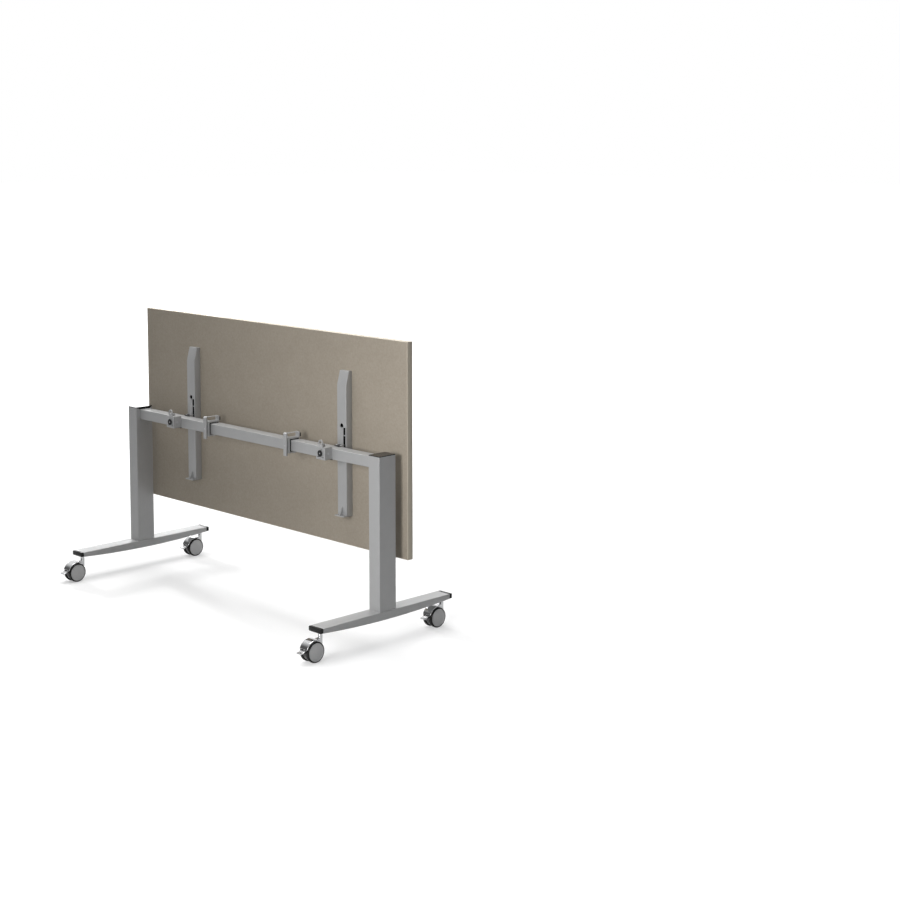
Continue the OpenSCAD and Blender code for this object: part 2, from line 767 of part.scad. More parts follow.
// Casters: side is 0 for left, 1 for right; row is -1 for front, 1 for rear
module caster_frame(side, row) { framed() translate([post_x[side], row * caster_y, 0]) children(); }
module caster_stems() {
  color(chrome) for (side = [0, 1], row = [-1, 1]) caster_frame(side, row) {
    rod_z(neck_low + neck_wall, foot_top - foot_wall, 0, 0, stem_r);
    rod_z(neck_top + gap, stem_seat, 0, 0, collar_r);
  }
}
module sector(r, a0, a1) {
  polygon([
    [0, 0],
    for (k = [0 : 4]) let (a = a0 + (a1 - a0) * k / 4) [-r * cos(a), r * sin(a)]
  ]);
}
module caster_hood(side, row) {
  inner_r = wheel_r + hood_gap;
  outer_r = inner_r + hood_t;
  half = caster_w / 2 - hood_side;
  color(chrome) caster_frame(side, row) difference() {
    union() {
      rod_z(neck_low, neck_top, 0, 0, neck_r);
      translate([0, -trail, wheel_r]) {
        prism_x(-half, half) intersection() {
          difference() {
            circle(r = outer_r);
            circle(r = inner_r);
          }
          sector(outer_r * wedge_share, fender_low_deg, fender_high_deg);
        }
        prism_x(-web_w / 2, web_w / 2) union() {
          circle(r = boss_r);
          intersection() {
            circle(r = inner_r + hood_t / 2);
            sector(outer_r * wedge_share, fender_low_deg, fender_high_deg);
          }
        }
      }
      prism_x(-web_w / 2, web_w / 2) polygon([
        [-trail, neck_low], [0, neck_low], [0, neck_top - gusset_drop],
        [-neck_r, neck_top - gusset_drop], [-trail, wheel_r + inner_r]
      ]);
    }
    rod_z(neck_low + neck_wall, neck_top + over, 0, 0, stem_r + running);
    rod_x(-web_w, web_w, -trail, wheel_r, axle_r + running);
    rod_x(-web_w, web_w, -trail - pedal_axis_in, wheel_r + pedal_axis_up, pedal_pin_r + running);
    caster_wheel_space();
  }
}
// Nothing of the hood stands where the wheels turn
module caster_wheel_space() {
  inner = caster_w / 2 - wheel_w - gap;
  for (s = [-1, 1])
    rod_x(s > 0 ? inner : -caster_w / 2, s > 0 ? caster_w / 2 : -inner, -trail, wheel_r,
          wheel_r + hood_gap);
}
module axle(side, row) {
  end = caster_w / 2 - axle_end;
  color(chrome) caster_frame(side, row) rod_x(-end, end, -trail, wheel_r, axle_r);
}
module wheel_pair() {
  for (s = [0, 1]) mirror([s, 0, 0])
    translate([caster_w / 2 - wheel_w, -trail, wheel_r]) rotate([0, 90, 0]) children();
}
module tyres(side, row) {
  r = wheel_r - tyre_edge;
  color(rubber) caster_frame(side, row) wheel_pair() rotate_extrude() difference() {
    union() {
      translate([0, tyre_edge]) square([wheel_r, wheel_w - 2 * tyre_edge]);
      square([r, wheel_w]);
      for (y = [tyre_edge, wheel_w - tyre_edge]) translate([r, y]) circle(r = tyre_edge);
    }
    translate([-wheel_r, -over]) square([2 * wheel_r - tyre_t, wheel_w + 2 * over]);
  }
}
module hubs(side, row) {
  r = wheel_r - tyre_t;
  color(hub_grey) caster_frame(side, row) wheel_pair() difference() {
    cylinder(h = wheel_w, r = r);
    translate([0, 0, wheel_w - hub_step]) difference() {
      cylinder(h = hub_step + over, r = r - hub_step);
      cylinder(h = hub_step + over, r = r - hub_rim);
    }
    translate([0, 0, -over]) cylinder(h = wheel_w - axle_end + over, r = axle_r);
  }
}
module brake_pedal(side, row) {
  arm_in = web_w / 2 + gap / 2;
  y0 = -trail - pedal_reach;
  y1 = -trail - wheel_r - hood_gap;
  z = wheel_r + pedal_tip_up;
  py = -trail - pedal_axis_in;
  pz = wheel_r + pedal_axis_up;
  color(chrome) caster_frame(side, row) {
    rod_x(-arm_in - pedal_arm_t, arm_in + pedal_arm_t, py, pz, pedal_pin_r);
    for (s = [-1, 1]) {
      a = s > 0 ? arm_in : -arm_in - pedal_arm_t;
      rod_x(a, a + pedal_arm_t, py, pz, pedal_eye_r);
      block([a, y1 - pedal_t, z], [a + pedal_arm_t, py, z + pedal_t]);
    }
    block([-pedal_w / 2, y0 + pedal_t / 2, z], [pedal_w / 2, y1, z + pedal_t]);
    rod_x(-pedal_w / 2, pedal_w / 2, y0 + pedal_t / 2, z + pedal_t / 2, pedal_t / 2);
  }
}

tabletop();
edge_band();
support_arm(0);  // support_arm_left
support_arm(1);  // support_arm_right
arm_end_plate(0);  // arm_end_plate_left
arm_end_plate(1);  // arm_end_plate_right
arm_screws();
hinge_pins();
hinge_bracket(0);  // hinge_bracket_left
hinge_bracket(1);  // hinge_bracket_right
hinge_bolts();
latch_box(0);  // latch_box_left
latch_box(1);  // latch_box_right
guide_screws();
tab_pins();
ring_tab(0);  // ring_tab_left
ring_tab(1);  // ring_tab_right
latch_knob(0);  // latch_knob_left
latch_knob(1);  // latch_knob_right
latch_hook(0);  // latch_hook_left
latch_hook(1);  // latch_hook_right
crossbar();
post(0);  // post_left
post(1);  // post_right
post_cap(0);  // post_cap_left
post_cap(1);  // post_cap_right
post_bolts();
foot(0);  // foot_left
foot(1);  // foot_right
foot_end_caps();
foot_bolts();
caster_stems();
clamp_jaw(0);  // clamp_jaw_left
clamp_jaw(1);  // clamp_jaw_right
clamp_bar(0);  // clamp_bar_left
clamp_bar(1);  // clamp_bar_right
clamp_rivets();
clamp_liners();
clamp_buffers();
clamp_screws();
caster_hood(0, -1);  // caster_hood_front_left
caster_hood(1, -1);  // caster_hood_front_right
caster_hood(0, 1);  // caster_hood_rear_left
caster_hood(1, 1);  // caster_hood_rear_right
axle(0, -1);  // axle_front_left
axle(1, -1);  // axle_front_right
axle(0, 1);  // axle_rear_left
axle(1, 1);  // axle_rear_right
tyres(0, -1);  // tyres_front_left
tyres(1, -1);  // tyres_front_right
tyres(0, 1);  // tyres_rear_left
tyres(1, 1);  // tyres_rear_right
hubs(0, -1);  // hubs_front_left
hubs(1, -1);  // hubs_front_right
hubs(0, 1);  // hubs_rear_left
hubs(1, 1);  // hubs_rear_right
brake_pedal(0, -1);  // brake_pedal_front_left
brake_pedal(1, -1);  // brake_pedal_front_right
brake_pedal(0, 1);  // brake_pedal_rear_left
brake_pedal(1, 1);  // brake_pedal_rear_right
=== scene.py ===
# %% [markdown]
# # A flip top training table in Blender
#
# The table is stored: its top hangs upright behind the crossbar, and four braked casters stand on
# a white studio floor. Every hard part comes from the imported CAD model, which is loaded first and
# never moved. This lesson gives those parts their finishes, eases the edges that a press brake or
# a mould would round, and models the cast and moulded pieces, such as caster hoods and hubs, more
# fully than the CAD does.

# %% Load the frame
import json
import math

import bmesh
import bpy
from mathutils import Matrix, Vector


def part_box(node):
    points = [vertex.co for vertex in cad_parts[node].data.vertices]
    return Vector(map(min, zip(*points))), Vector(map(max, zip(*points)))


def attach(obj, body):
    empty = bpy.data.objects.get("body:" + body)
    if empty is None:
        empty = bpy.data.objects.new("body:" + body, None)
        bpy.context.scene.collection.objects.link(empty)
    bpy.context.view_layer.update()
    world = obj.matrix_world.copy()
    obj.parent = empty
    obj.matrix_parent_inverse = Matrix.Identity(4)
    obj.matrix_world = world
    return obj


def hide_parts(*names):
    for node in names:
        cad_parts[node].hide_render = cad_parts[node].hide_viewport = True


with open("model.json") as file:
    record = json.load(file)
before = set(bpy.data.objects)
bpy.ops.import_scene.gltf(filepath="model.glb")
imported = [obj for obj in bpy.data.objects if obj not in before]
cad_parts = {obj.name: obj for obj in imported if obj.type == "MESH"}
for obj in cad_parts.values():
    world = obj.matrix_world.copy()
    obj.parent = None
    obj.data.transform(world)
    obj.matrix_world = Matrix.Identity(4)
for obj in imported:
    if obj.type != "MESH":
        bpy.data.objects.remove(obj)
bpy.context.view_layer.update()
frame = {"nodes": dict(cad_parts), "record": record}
cad_nodes = frame["nodes"]
slot_of = {part["node"]: part["material_slot"] for part in frame["record"]["subparts"]}
body_of = {node: body for body, members in frame["record"]["behaviour"]["bodies"].items()
           for node in members}
scene = bpy.context.scene
print("nodes:", len(cad_nodes), "slots:", sorted(set(slot_of.values())))

# %% [markdown]
# ## Camera
#
# The photograph was taken from the user's side, 45 degrees round to the right, with the lens 1.9
# metres above the floor. A long lens keeps the perspective calm. A view camera would keep the posts
# parallel with lens shift alone; half of that shift and a slight tilt give almost the same picture,
# and leave the lens usable from other sides.

# %% Place the camera
MM = 0.001
SENSOR_WIDTH = 36.0
PHOTO_PIXELS, FOCAL_PIXELS = 900.0, 1720.75
TILT_DOWN, TURN_RIGHT = 5.89, 45.041
lens_data = bpy.data.cameras.new("photo_lens")
lens_data.sensor_fit = "HORIZONTAL"
lens_data.sensor_width = SENSOR_WIDTH
lens_data.lens = SENSOR_WIDTH * FOCAL_PIXELS / PHOTO_PIXELS
lens_data.shift_y = -0.17
lens_data.clip_start, lens_data.clip_end = 0.1, 200.0
photo_camera = bpy.data.objects.new("photo_camera", lens_data)
scene.collection.objects.link(photo_camera)
photo_camera.location = (5.2376, -4.0999, 1.8879)
photo_camera.rotation_euler = (math.radians(90.0 - TILT_DOWN), 0.0, math.radians(TURN_RIGHT))
scene.camera = photo_camera
scene.view_settings.view_transform = "Standard"
print("lens:", round(lens_data.lens, 2), "mm")

# %% [markdown]
# ## Writing materials as expressions
#
# A node tree is easier to read when its arithmetic looks like arithmetic. `Wire` wraps one output
# socket, so that `1 - speck * 0.2` adds the Math nodes by itself. `Recipe.make` adds any other
# node: it takes the node's type, its settings and the values or links of its sockets.

# %% Shader helpers
class Wire:
    """One output socket whose sums and products become Math nodes."""

    def __init__(self, recipe, socket):
        self.recipe, self.socket = recipe, socket

    def join(self, operation, first, second, clamp=False):
        return self.recipe.make("ShaderNodeMath", {"operation": operation, "use_clamp": clamp},
                                {0: first, 1: second})

    def __add__(self, other): return self.join("ADD", self, other)
    def __radd__(self, other): return self.join("ADD", other, self)
    def __sub__(self, other): return self.join("SUBTRACT", self, other)
    def __rsub__(self, other): return self.join("SUBTRACT", other, self)
    def __mul__(self, other): return self.join("MULTIPLY", self, other)
    def clamped(self): return self.join("ADD", self, 0.0, clamp=True)


class Recipe:
    """The node tree of one material or world."""

    def __init__(self, owner):
        owner.use_nodes = True
        self.owner, self.tree = owner, owner.node_tree
        self.tree.nodes.clear()

    def make(self, kind, settings=None, sockets=None, out=0):
        """Adds one node. Settings come first, then values or wires for its sockets."""
        node = self.tree.nodes.new(kind)
        for key, value in (settings or {}).items():
            setattr(node, key, value)
        for key, value in (sockets or {}).items():
            if isinstance(value, Wire):
                self.tree.links.new(value.socket, node.inputs[key])
            else:
                node.inputs[key].default_value = value
        return Wire(self, node.outputs[out])

    def place(self):
        """Object coordinates, in metres."""
        return self.make("ShaderNodeTexCoord", out="Object")

    def grain(self, size, detail, stretch=(1.0, 1.0, 1.0)):
        """Noise from 0 to 1 whose blotches are about size metres across."""
        where = self.make("ShaderNodeMapping", sockets={"Vector": self.place(), "Scale": stretch})
        return self.make("ShaderNodeTexNoise", sockets={
            "Vector": where, "Scale": 1.0 / size, "Detail": detail})

    def tint(self, amount, low, high):
        """A colour between low and high."""
        return self.make("ShaderNodeMix", {"data_type": "RGBA"},
                         {"Factor": amount, 6: (*low, 1.0), 7: (*high, 1.0)}, out=2)

    def relief(self, height, depth, strength):
        """A bump whose full height is depth metres."""
        return self.make("ShaderNodeBump", sockets={
            "Height": height, "Distance": depth, "Strength": strength})

    def output(self, kind, shader):
        node = self.tree.nodes.new(kind)
        self.tree.links.new(shader.socket, node.inputs["Surface"])

    def surface(self, shader):
        """Ends a material and gives it back."""
        self.output("ShaderNodeOutputMaterial", shader)
        return self.owner


def finish_named(name):
    return Recipe(bpy.data.materials.new(name))


print("shader helpers ready")

# %% [markdown]
# ## Board finishes
#
# The top is a wood-based board faced with a warm grey laminate. Its print is a fine linen with
# flecks: short threads in both directions, spots of a few millimetres and a soft clouding over a
# hand's width. Stretched noise along X and along Z makes the threads, and the same threads press a
# shallow relief into the face. The edge band is smooth plastic of the same hue, but paler.

# %% Board laminate and edge band
def board_laminate():
    r = finish_named("board_laminate")
    across = r.grain(0.0016, 3.0, (0.12, 1.0, 1.0))
    upright = r.grain(0.0016, 3.0, (1.0, 1.0, 0.12))
    threads = across * 0.5 + upright * 0.5
    fleck = r.grain(0.007, 2.0)
    cloud = r.grain(0.09, 2.0)
    print_tone = (threads * 0.45 + fleck * 0.4 + cloud * 0.15 - 0.5) * 2.2 + 0.5
    colour = r.tint(print_tone.clamped(), (0.264, 0.230, 0.184), (0.360, 0.317, 0.259))
    rough = 0.5 + threads * 0.16
    return r.surface(r.make("ShaderNodeBsdfPrincipled", sockets={
        "Base Color": colour, "Roughness": rough, "Specular IOR Level": 0.35,
        "Normal": r.relief(threads, 0.00012, 0.5)}))


def edge_band_plastic():
    r = finish_named("edge_band_plastic")
    speck = r.grain(0.004, 3.0)
    colour = r.tint(speck, (0.500, 0.448, 0.362), (0.555, 0.500, 0.408))
    return r.surface(r.make("ShaderNodeBsdfPrincipled", sockets={
        "Base Color": colour, "Roughness": 0.36 + speck * 0.12,
        "Normal": r.relief(speck, 0.00006, 0.4)}))


finishes = {"board": board_laminate(), "edge": edge_band_plastic()}
print("board finishes:", list(finishes))

# %% [markdown]
# ## Metal finishes
#
# Posts, feet, crossbar and arms are powder coated in an aluminium grey. Such a coat is not a mirror
# and not quite a paint either: fine metal flakes lie in it, and its skin has the faint orange peel
# of melted powder. A half-metallic base with two sizes of noise gives both. The casters are
# polished chrome, and fasteners are zinc plated, which is duller and a little blotchy.

# %% Powder coat, chrome, zinc and black coat
def silver_powder_coat():
    r = finish_named("silver_powder_coat")
    peel = r.grain(0.0022, 2.0)
    flake = r.grain(0.0007, 1.0)
    cloud = r.grain(0.035, 3.0)
    tone = peel * 0.35 + flake * 0.25 + cloud * 0.4
    colour = r.tint(tone, (0.350, 0.352, 0.354), (0.450, 0.451, 0.451))
    rough = 0.36 + peel * 0.10 + cloud * 0.06
    return r.surface(r.make("ShaderNodeBsdfPrincipled", sockets={
        "Base Color": colour, "Metallic": 0.35, "Roughness": rough,
        "Normal": r.relief(peel * 0.7 + flake * 0.3, 0.00012, 0.55)}))


def polished_chrome():
    r = finish_named("polished_chrome")
    haze = r.grain(0.012, 4.0)
    return r.surface(r.make("ShaderNodeBsdfPrincipled", sockets={
        "Base Color": r.tint(haze, (0.60, 0.61, 0.62), (0.69, 0.69, 0.70)), "Metallic": 1.0,
        "Roughness": 0.05 + haze * 0.07}))


def zinc_plate():
    r = finish_named("zinc_plate")
    blotch = r.grain(0.005, 4.0)
    brushed = r.grain(0.0009, 2.0)
    return r.surface(r.make("ShaderNodeBsdfPrincipled", sockets={
        "Base Color": r.tint(blotch, (0.44, 0.45, 0.46), (0.58, 0.58, 0.58)), "Metallic": 0.7,
        "Roughness": 0.30 + blotch * 0.14, "Normal": r.relief(brushed, 0.00003, 0.4)}))


def black_coat():
    r = finish_named("black_coat")
    peel = r.grain(0.0018, 2.0)
    return r.surface(r.make("ShaderNodeBsdfPrincipled", sockets={
        "Base Color": r.tint(peel, (0.012, 0.012, 0.012), (0.022, 0.022, 0.023)),
        "Specular IOR Level": 0.25, "Roughness": 0.38 + peel * 0.14,
        "Normal": r.relief(peel, 0.0001, 0.5)}))


finishes.update(silver=silver_powder_coat(), chrome=polished_chrome(), steel=zinc_plate(),
                dark_steel=black_coat())
print("metal finishes:", list(finishes)[2:])

# %% [markdown]
# ## Plastic and rubber finishes
#
# Post caps and foot caps are glossy black plastic, the kind that mirrors the room along a grazing
# view. The knobs are the same plastic with a fine moulded texture. Tyres are dark polyurethane, the
# hub discs are plain grey, and liners and buffers are matt rubber.

# %% Plastics and rubbers
def moulded_plastic(name, low, high, rough, texture_size, depth, gloss=0.3):
    r = finish_named(name)
    texture = r.grain(texture_size, 3.0)
    cloud = r.grain(0.02, 2.0)
    return r.surface(r.make("ShaderNodeBsdfPrincipled", sockets={
        "Base Color": r.tint(texture * 0.6 + cloud * 0.4, low, high),
        "Roughness": rough + cloud * 0.12, "Specular IOR Level": gloss,
        "Normal": r.relief(texture, depth, 0.5)}))


finishes.update(
    plastic=moulded_plastic("glossy_black_plastic", (0.008, 0.008, 0.008), (0.017, 0.017, 0.017),
                            0.12, 0.0012, 0.00002, 0.22),
    grip=moulded_plastic("textured_black_plastic", (0.008, 0.008, 0.008), (0.018, 0.018, 0.018),
                         0.30, 0.0009, 0.00008, 0.25),
    hub=moulded_plastic("grey_hub_plastic", (0.550, 0.550, 0.552), (0.600, 0.600, 0.600),
                        0.40, 0.0010, 0.00006),
    tyre=moulded_plastic("tyre_polyurethane", (0.005, 0.005, 0.005), (0.012, 0.012, 0.012),
                         0.22, 0.0011, 0.00004, 0.25),
    rubber=moulded_plastic("matt_rubber", (0.016, 0.016, 0.016), (0.030, 0.030, 0.030),
                           0.62, 0.0008, 0.00010))
print("all finishes:", sorted(finishes))

# %% [markdown]
# ## Dress the CAD parts
#
# The imported record says which material slot each CAD part belongs to, so one loop gives every part
# its finish. Parts that are modelled more fully further down are hidden there when their new
# pieces are made. Parts that are modelled more fully further down keep their CAD form for collision
# only.

# %% Give every CAD node its finish
def dress(thing, finish):
    thing.data.materials.clear()
    thing.data.materials.append(finish)


for node, thing in cad_nodes.items():
    dress(thing, finishes[slot_of[node]])
print("dressed", len(cad_nodes), "CAD nodes")

# %% [markdown]
# ## Copies with eased edges
#
# A folded or moulded part has no knife edges: the light always catches a thin bright line along
# them. The CAD copy comes as loose triangles, so a copy is merged and its flat faces are joined
# first. Then the long edges get the radius of a bent sheet with bmesh's bevel, and a Bevel modifier
# breaks all the short ones. Hardened normals keep the flat faces flat in the shading.

# %% Helpers for new pieces
WELD = 1e-6
FLAT_ANGLE, EDGE_ANGLE, BREAK_ANGLE = math.radians(0.6), math.radians(50.0), math.radians(40.0)
made = []


def merged_copy(node):
    """A bmesh of a CAD node with its loose triangles merged into plain faces."""
    bm = bmesh.new()
    bm.from_mesh(cad_nodes[node].data)
    bmesh.ops.remove_doubles(bm, verts=bm.verts[:], dist=WELD)
    bmesh.ops.dissolve_limit(bm, angle_limit=FLAT_ANGLE, verts=bm.verts[:], edges=bm.edges[:])
    return bm


def keep(bm, name, body, slot, finish=None, stands_for=(), smooth_below=40.0):
    """Turns a bmesh into a finished piece that rides on a CAD body."""
    mesh = bpy.data.meshes.new(name)
    bm.to_mesh(mesh)
    bm.free()
    mesh.shade_smooth()
    mesh.set_sharp_from_angle(angle=math.radians(smooth_below))
    piece = bpy.data.objects.new(name, mesh)
    scene.collection.objects.link(piece)
    mesh.materials.append(finish or finishes[slot])
    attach(piece, body)
    if stands_for:
        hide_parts(*stands_for)
    made.append(name)
    return piece


def turn_out(bm):
    """Welds the parts of a new mesh and turns its faces outwards."""
    bmesh.ops.remove_doubles(bm, verts=bm.verts[:], dist=WELD)
    bmesh.ops.recalc_face_normals(bm, faces=bm.faces[:])


def rounded(bm, edges, radius, segments=3):
    """Gives edges of a mesh a round of one radius."""
    bmesh.ops.bevel(bm, geom=edges, offset=radius, offset_type="OFFSET", affect="EDGES",
                    segments=segments, profile=0.5, material=-1, clamp_overlap=True)


def break_edges(piece, width):
    """Takes the knife edge off all that is still sharp."""
    bevel = piece.modifiers.new("broken_edges", "BEVEL")
    bevel.width, bevel.segments = width, 2
    bevel.limit_method, bevel.angle_limit = "ANGLE", BREAK_ANGLE
    bevel.harden_normals, bevel.use_clamp_overlap = True, True


def eased(node, wide, long_from, fine=0.3 * MM, segments=3):
    """A copy of a CAD node: edges longer than long_from get radius wide, the rest a fine break."""
    bm = merged_copy(node)
    sharp = [edge for edge in bm.edges if edge.calc_length() > long_from
             and len(edge.link_faces) == 2 and edge.calc_face_angle(0.0) > EDGE_ANGLE
             and edge.is_convex]
    rounded(bm, sharp, wide, segments)
    piece = keep(bm, node + "_eased", body_of[node], slot_of[node], stands_for=(node,))
    if fine:
        break_edges(piece, fine)


print("helpers for new pieces ready")

# %% [markdown]
# ## Arms, plates, feet and boxes
#
# The arms are folded sheet, so their long edges get a 2 mm bend. The feet are a drawn profile with
# rounder shoulders. Latch boxes, jaws and plates are small pressings with about a millimetre. The
# foot caps are moulded, with a generous round that catches a bright line in the photograph.

# %% Ease the pressed and moulded parts
for side in ("left", "right"):
    eased(f"support_arm_{side}", 2.0 * MM, 30 * MM)
    eased(f"arm_end_plate_{side}", 0.8 * MM, 20 * MM)
    eased(f"foot_{side}", 2.5 * MM, 40 * MM, fine=None)
    eased(f"latch_box_{side}", 1.4 * MM, 20 * MM)
    eased(f"ring_tab_{side}", 0.8 * MM, 8 * MM)
    eased(f"clamp_jaw_{side}", 1.0 * MM, 12 * MM)
    eased(f"clamp_bar_{side}", 1.2 * MM, 3 * MM, fine=None)
    eased(f"post_cap_{side}", 1.0 * MM, 20 * MM)
eased("foot_end_caps", 3.2 * MM, 12 * MM, segments=4)
eased("clamp_buffers", 1.5 * MM, 4 * MM)
print("eased so far:", len(made))

# %% [markdown]
# ## Edge band
#
# The band is glued on and its outer corners are scraped round, while its inner edges stay tight
# against the board. So only the edges whose side face looks away from the board's middle are
# bevelled.

# %% Round the edge band
band_low, band_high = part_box("edge_band")
board_middle = (band_low + band_high) / 2
bm = merged_copy("edge_band")
outer = []
for edge in bm.edges:
    if len(edge.link_faces) != 2:
        continue
    first, second = (face.normal for face in edge.link_faces)
    side = second if abs(first.y) > 0.9 else first
    face = first if abs(first.y) > 0.9 else second
    middle = (edge.verts[0].co + edge.verts[1].co) / 2 - board_middle
    if abs(face.y) > 0.9 and abs(side.y) < 0.1 and side.dot(middle) > 0.1:
        outer.append(edge)
rounded(bm, outer, 1.2 * MM)
keep(bm, "edge_band_rounded", "top", "edge", stands_for=("edge_band",))
print("outer edges rounded:", len(outer))

# %% [markdown]
# ## Turned shapes
#
# Hub discs and tyres are bodies of revolution. A profile of a few points, spun round the wheel's
# axis, makes each one. The two wheels of a caster are mirror images, so the second is the first
# with its profile turned round.

# %% Spin a profile
def spun(bm, profile, centre, along, steps=72):
    """Adds a body of revolution round a level axis. Profile points are in mm, as (radius,
    distance along the axis)."""
    along, out = Vector(along), Vector((0, 0, 1))
    verts = [bm.verts.new(centre + out * (radius * MM) + along * (distance * MM))
             for radius, distance in profile]
    edges = [bm.edges.new(pair) for pair in zip(verts, verts[1:] + verts[:1])]
    bmesh.ops.spin(bm, geom=verts + edges, cent=centre, axis=along, dvec=(0, 0, 0),
                   angle=math.tau, steps=steps, use_merge=True)


hub_profile = [(0, 14.2), (2.2, 14.2), (2.8, 14.8), (12, 14.7), (25, 14.45), (27.6, 14.3),
               (28.1, 13.5), (28.9, 13.5), (29.4, 14.6), (31.6, 14.8), (32.7, 14.2), (32.9, 13.2),
               (32.9, 0.8), (31.5, 0.2), (29, 0.4), (27, 4), (13, 4), (11, 0.3), (4.05, 0.2),
               (4.05, 9.5), (0, 9.5)]
tyre_profile = [(32.95, 1.0), (32.95, 14.2), (33.8, 14.8), (35.2, 14.6), (36.6, 13.7),
                (37.6, 12.0), (38.0, 10.0), (38.0, 8.1), (37.5, 7.8), (37.5, 7.2), (38.0, 6.9),
                (38.0, 5.0), (37.6, 3.0), (36.6, 1.3), (35.2, 0.4), (33.8, 0.2)]
print("hub points:", len(hub_profile), "tyre points:", len(tyre_profile))

# %% Model the wheels
WHEEL_WIDTH = 15 * MM
corners = [f"{row}_{side}" for row in ("front", "rear") for side in ("left", "right")]


def wheel_axis(corner):
    low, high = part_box(f"tyres_{corner}")
    return (low + high) / 2, (high.x - low.x) / 2


for corner in corners:
    centre, half_width = wheel_axis(corner)
    for part, profile, slot in (("hubs", hub_profile, "hub"), ("tyres", tyre_profile, "tyre")):
        bm = bmesh.new()
        for way in (-1, 1):
            inner_face = centre + Vector((way * (half_width - WHEEL_WIDTH), 0, 0))
            spun(bm, profile, inner_face, (way, 0, 0))
        turn_out(bm)
        keep(bm, f"{part}_{corner}_turned", f"wheels_{corner}", slot,
             stands_for=(f"{part}_{corner}",), smooth_below=32)
print("wheels:", [name for name in made if "turned" in name][:2], "...")

# %% [markdown]
# ## Cast hoods and pedals
#
# A caster's hood is a die casting with chrome on it: no corner is left sharp, and the neck flows
# into the hood. A voxel remesh turns its CAD form into one skin, and a Smooth modifier rounds it,
# much as polishing does before plating. The pedal is made the same way: the CAD's flat lever, plus
# the curved cover that carries on the hood's line.

# %% Cast a piece
def add_prism(bm, outline, x_low, x_high):
    """A prism along X from an outline of (y, z) points in metres."""
    base = [bm.verts.new((x_low, y, z)) for y, z in outline]
    face = bm.faces.new(base)
    grown = bmesh.ops.extrude_face_region(bm, geom=[face])
    moved = [v for v in grown["geom"] if isinstance(v, bmesh.types.BMVert)]
    bmesh.ops.translate(bm, verts=moved, vec=(x_high - x_low, 0, 0))


def cast(node, voxel, rounds, add=None):
    """Melts a CAD node, and what add adds to it, into one smooth skin."""
    bm = merged_copy(node)
    if add:
        add(bm)
    turn_out(bm)
    piece = keep(bm, node + "_cast", body_of[node], slot_of[node], stands_for=(node,),
                 smooth_below=180)
    skin = piece.modifiers.new("one_skin", "REMESH")
    skin.mode, skin.voxel_size, skin.use_smooth_shade = "VOXEL", voxel, True
    polish = piece.modifiers.new("polished", "SMOOTH")
    polish.factor, polish.iterations = 0.5, rounds


def pedal_cover(corner):
    """What adds the curved cover to a pedal's mesh. The outline is in mm from the wheel's axis."""
    centre, _ = wheel_axis(corner)
    upper = [(-60.8, 40.4), (-59.5, 42.6), (-55, 43.4), (-50.5, 44.8), (-47, 47.0), (-44.5, 49.4)]
    lower = [(-42.6, 47.6), (-45, 44.6), (-48.5, 42.2), (-54, 40.3), (-59, 38.6)]
    outline = [(centre.y + y * MM, z * MM) for y, z in upper + lower]
    return lambda bm: add_prism(bm, outline, centre.x - 13 * MM, centre.x + 13 * MM)


for corner in corners:
    cast(f"caster_hood_{corner}", 0.9 * MM, 6)
    cast(f"brake_pedal_{corner}", 0.7 * MM, 4, pedal_cover(corner))
print("cast pieces:", sum("cast" in name for name in made))

# %% [markdown]
# ## Latch knobs
#
# The knob is a small moulded grip on the end of the latch's spindle. It has a rounded rim, a groove
# to pull by and a shallow dish with a lighter insert at its centre. It is a body of revolution, so
# the same spin makes it, this time towards the user's side.

# %% Model the knobs
knob_profile = [(0, 0.3), (10.2, 0.3), (10.9, 0.8), (11.0, 1.6), (12.2, 2.2), (12.5, 2.8),
                (12.4, 3.6), (11.7, 4.3), (10.6, 4.5), (6.2, 4.3), (5.4, 3.5), (0, 3.4)]
insert_profile = [(0, 3.2), (2.3, 3.2), (2.3, 3.8), (1.9, 4.1), (1.1, 4.15), (0.8, 3.6), (0, 3.6)]
for side in ("left", "right"):
    low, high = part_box(f"latch_knob_{side}")
    seat = Vector(((low.x + high.x) / 2, high.y, (low.z + high.z) / 2))
    for part, profile, slot, finish in (
            ("turned", knob_profile, "plastic", finishes["grip"]),
            ("insert", insert_profile, "steel", finishes["steel"])):
        bm = bmesh.new()
        spun(bm, profile, seat, (0, -1, 0), steps=48)
        turn_out(bm)
        keep(bm, f"latch_knob_{side}_{part}", f"latch_{side}", slot, finish,
             (f"latch_knob_{side}",) if part == "turned" else (), 35)
print("knobs at", [round(value, 3) for value in seat])

# %% [markdown]
# ## Dark insides
#
# The slit and the round hole of each arm are plain black in the photograph, because hardly any
# light gets into the arm. Near-black sheets just behind the front wall are painted shade that gives
# that depth. Behind the hole they make a box that is open to the front, because the latch hook
# enters there.

# %% Paint the shade inside the arms
def plate(bm, low, high):
    """Adds a box between two corners."""
    corners_of_box = bmesh.ops.create_cube(bm, size=1.0)["verts"]
    low, high = Vector(low), Vector(high)
    bmesh.ops.scale(bm, vec=high - low, verts=corners_of_box)
    bmesh.ops.translate(bm, vec=(high + low) / 2, verts=corners_of_box)
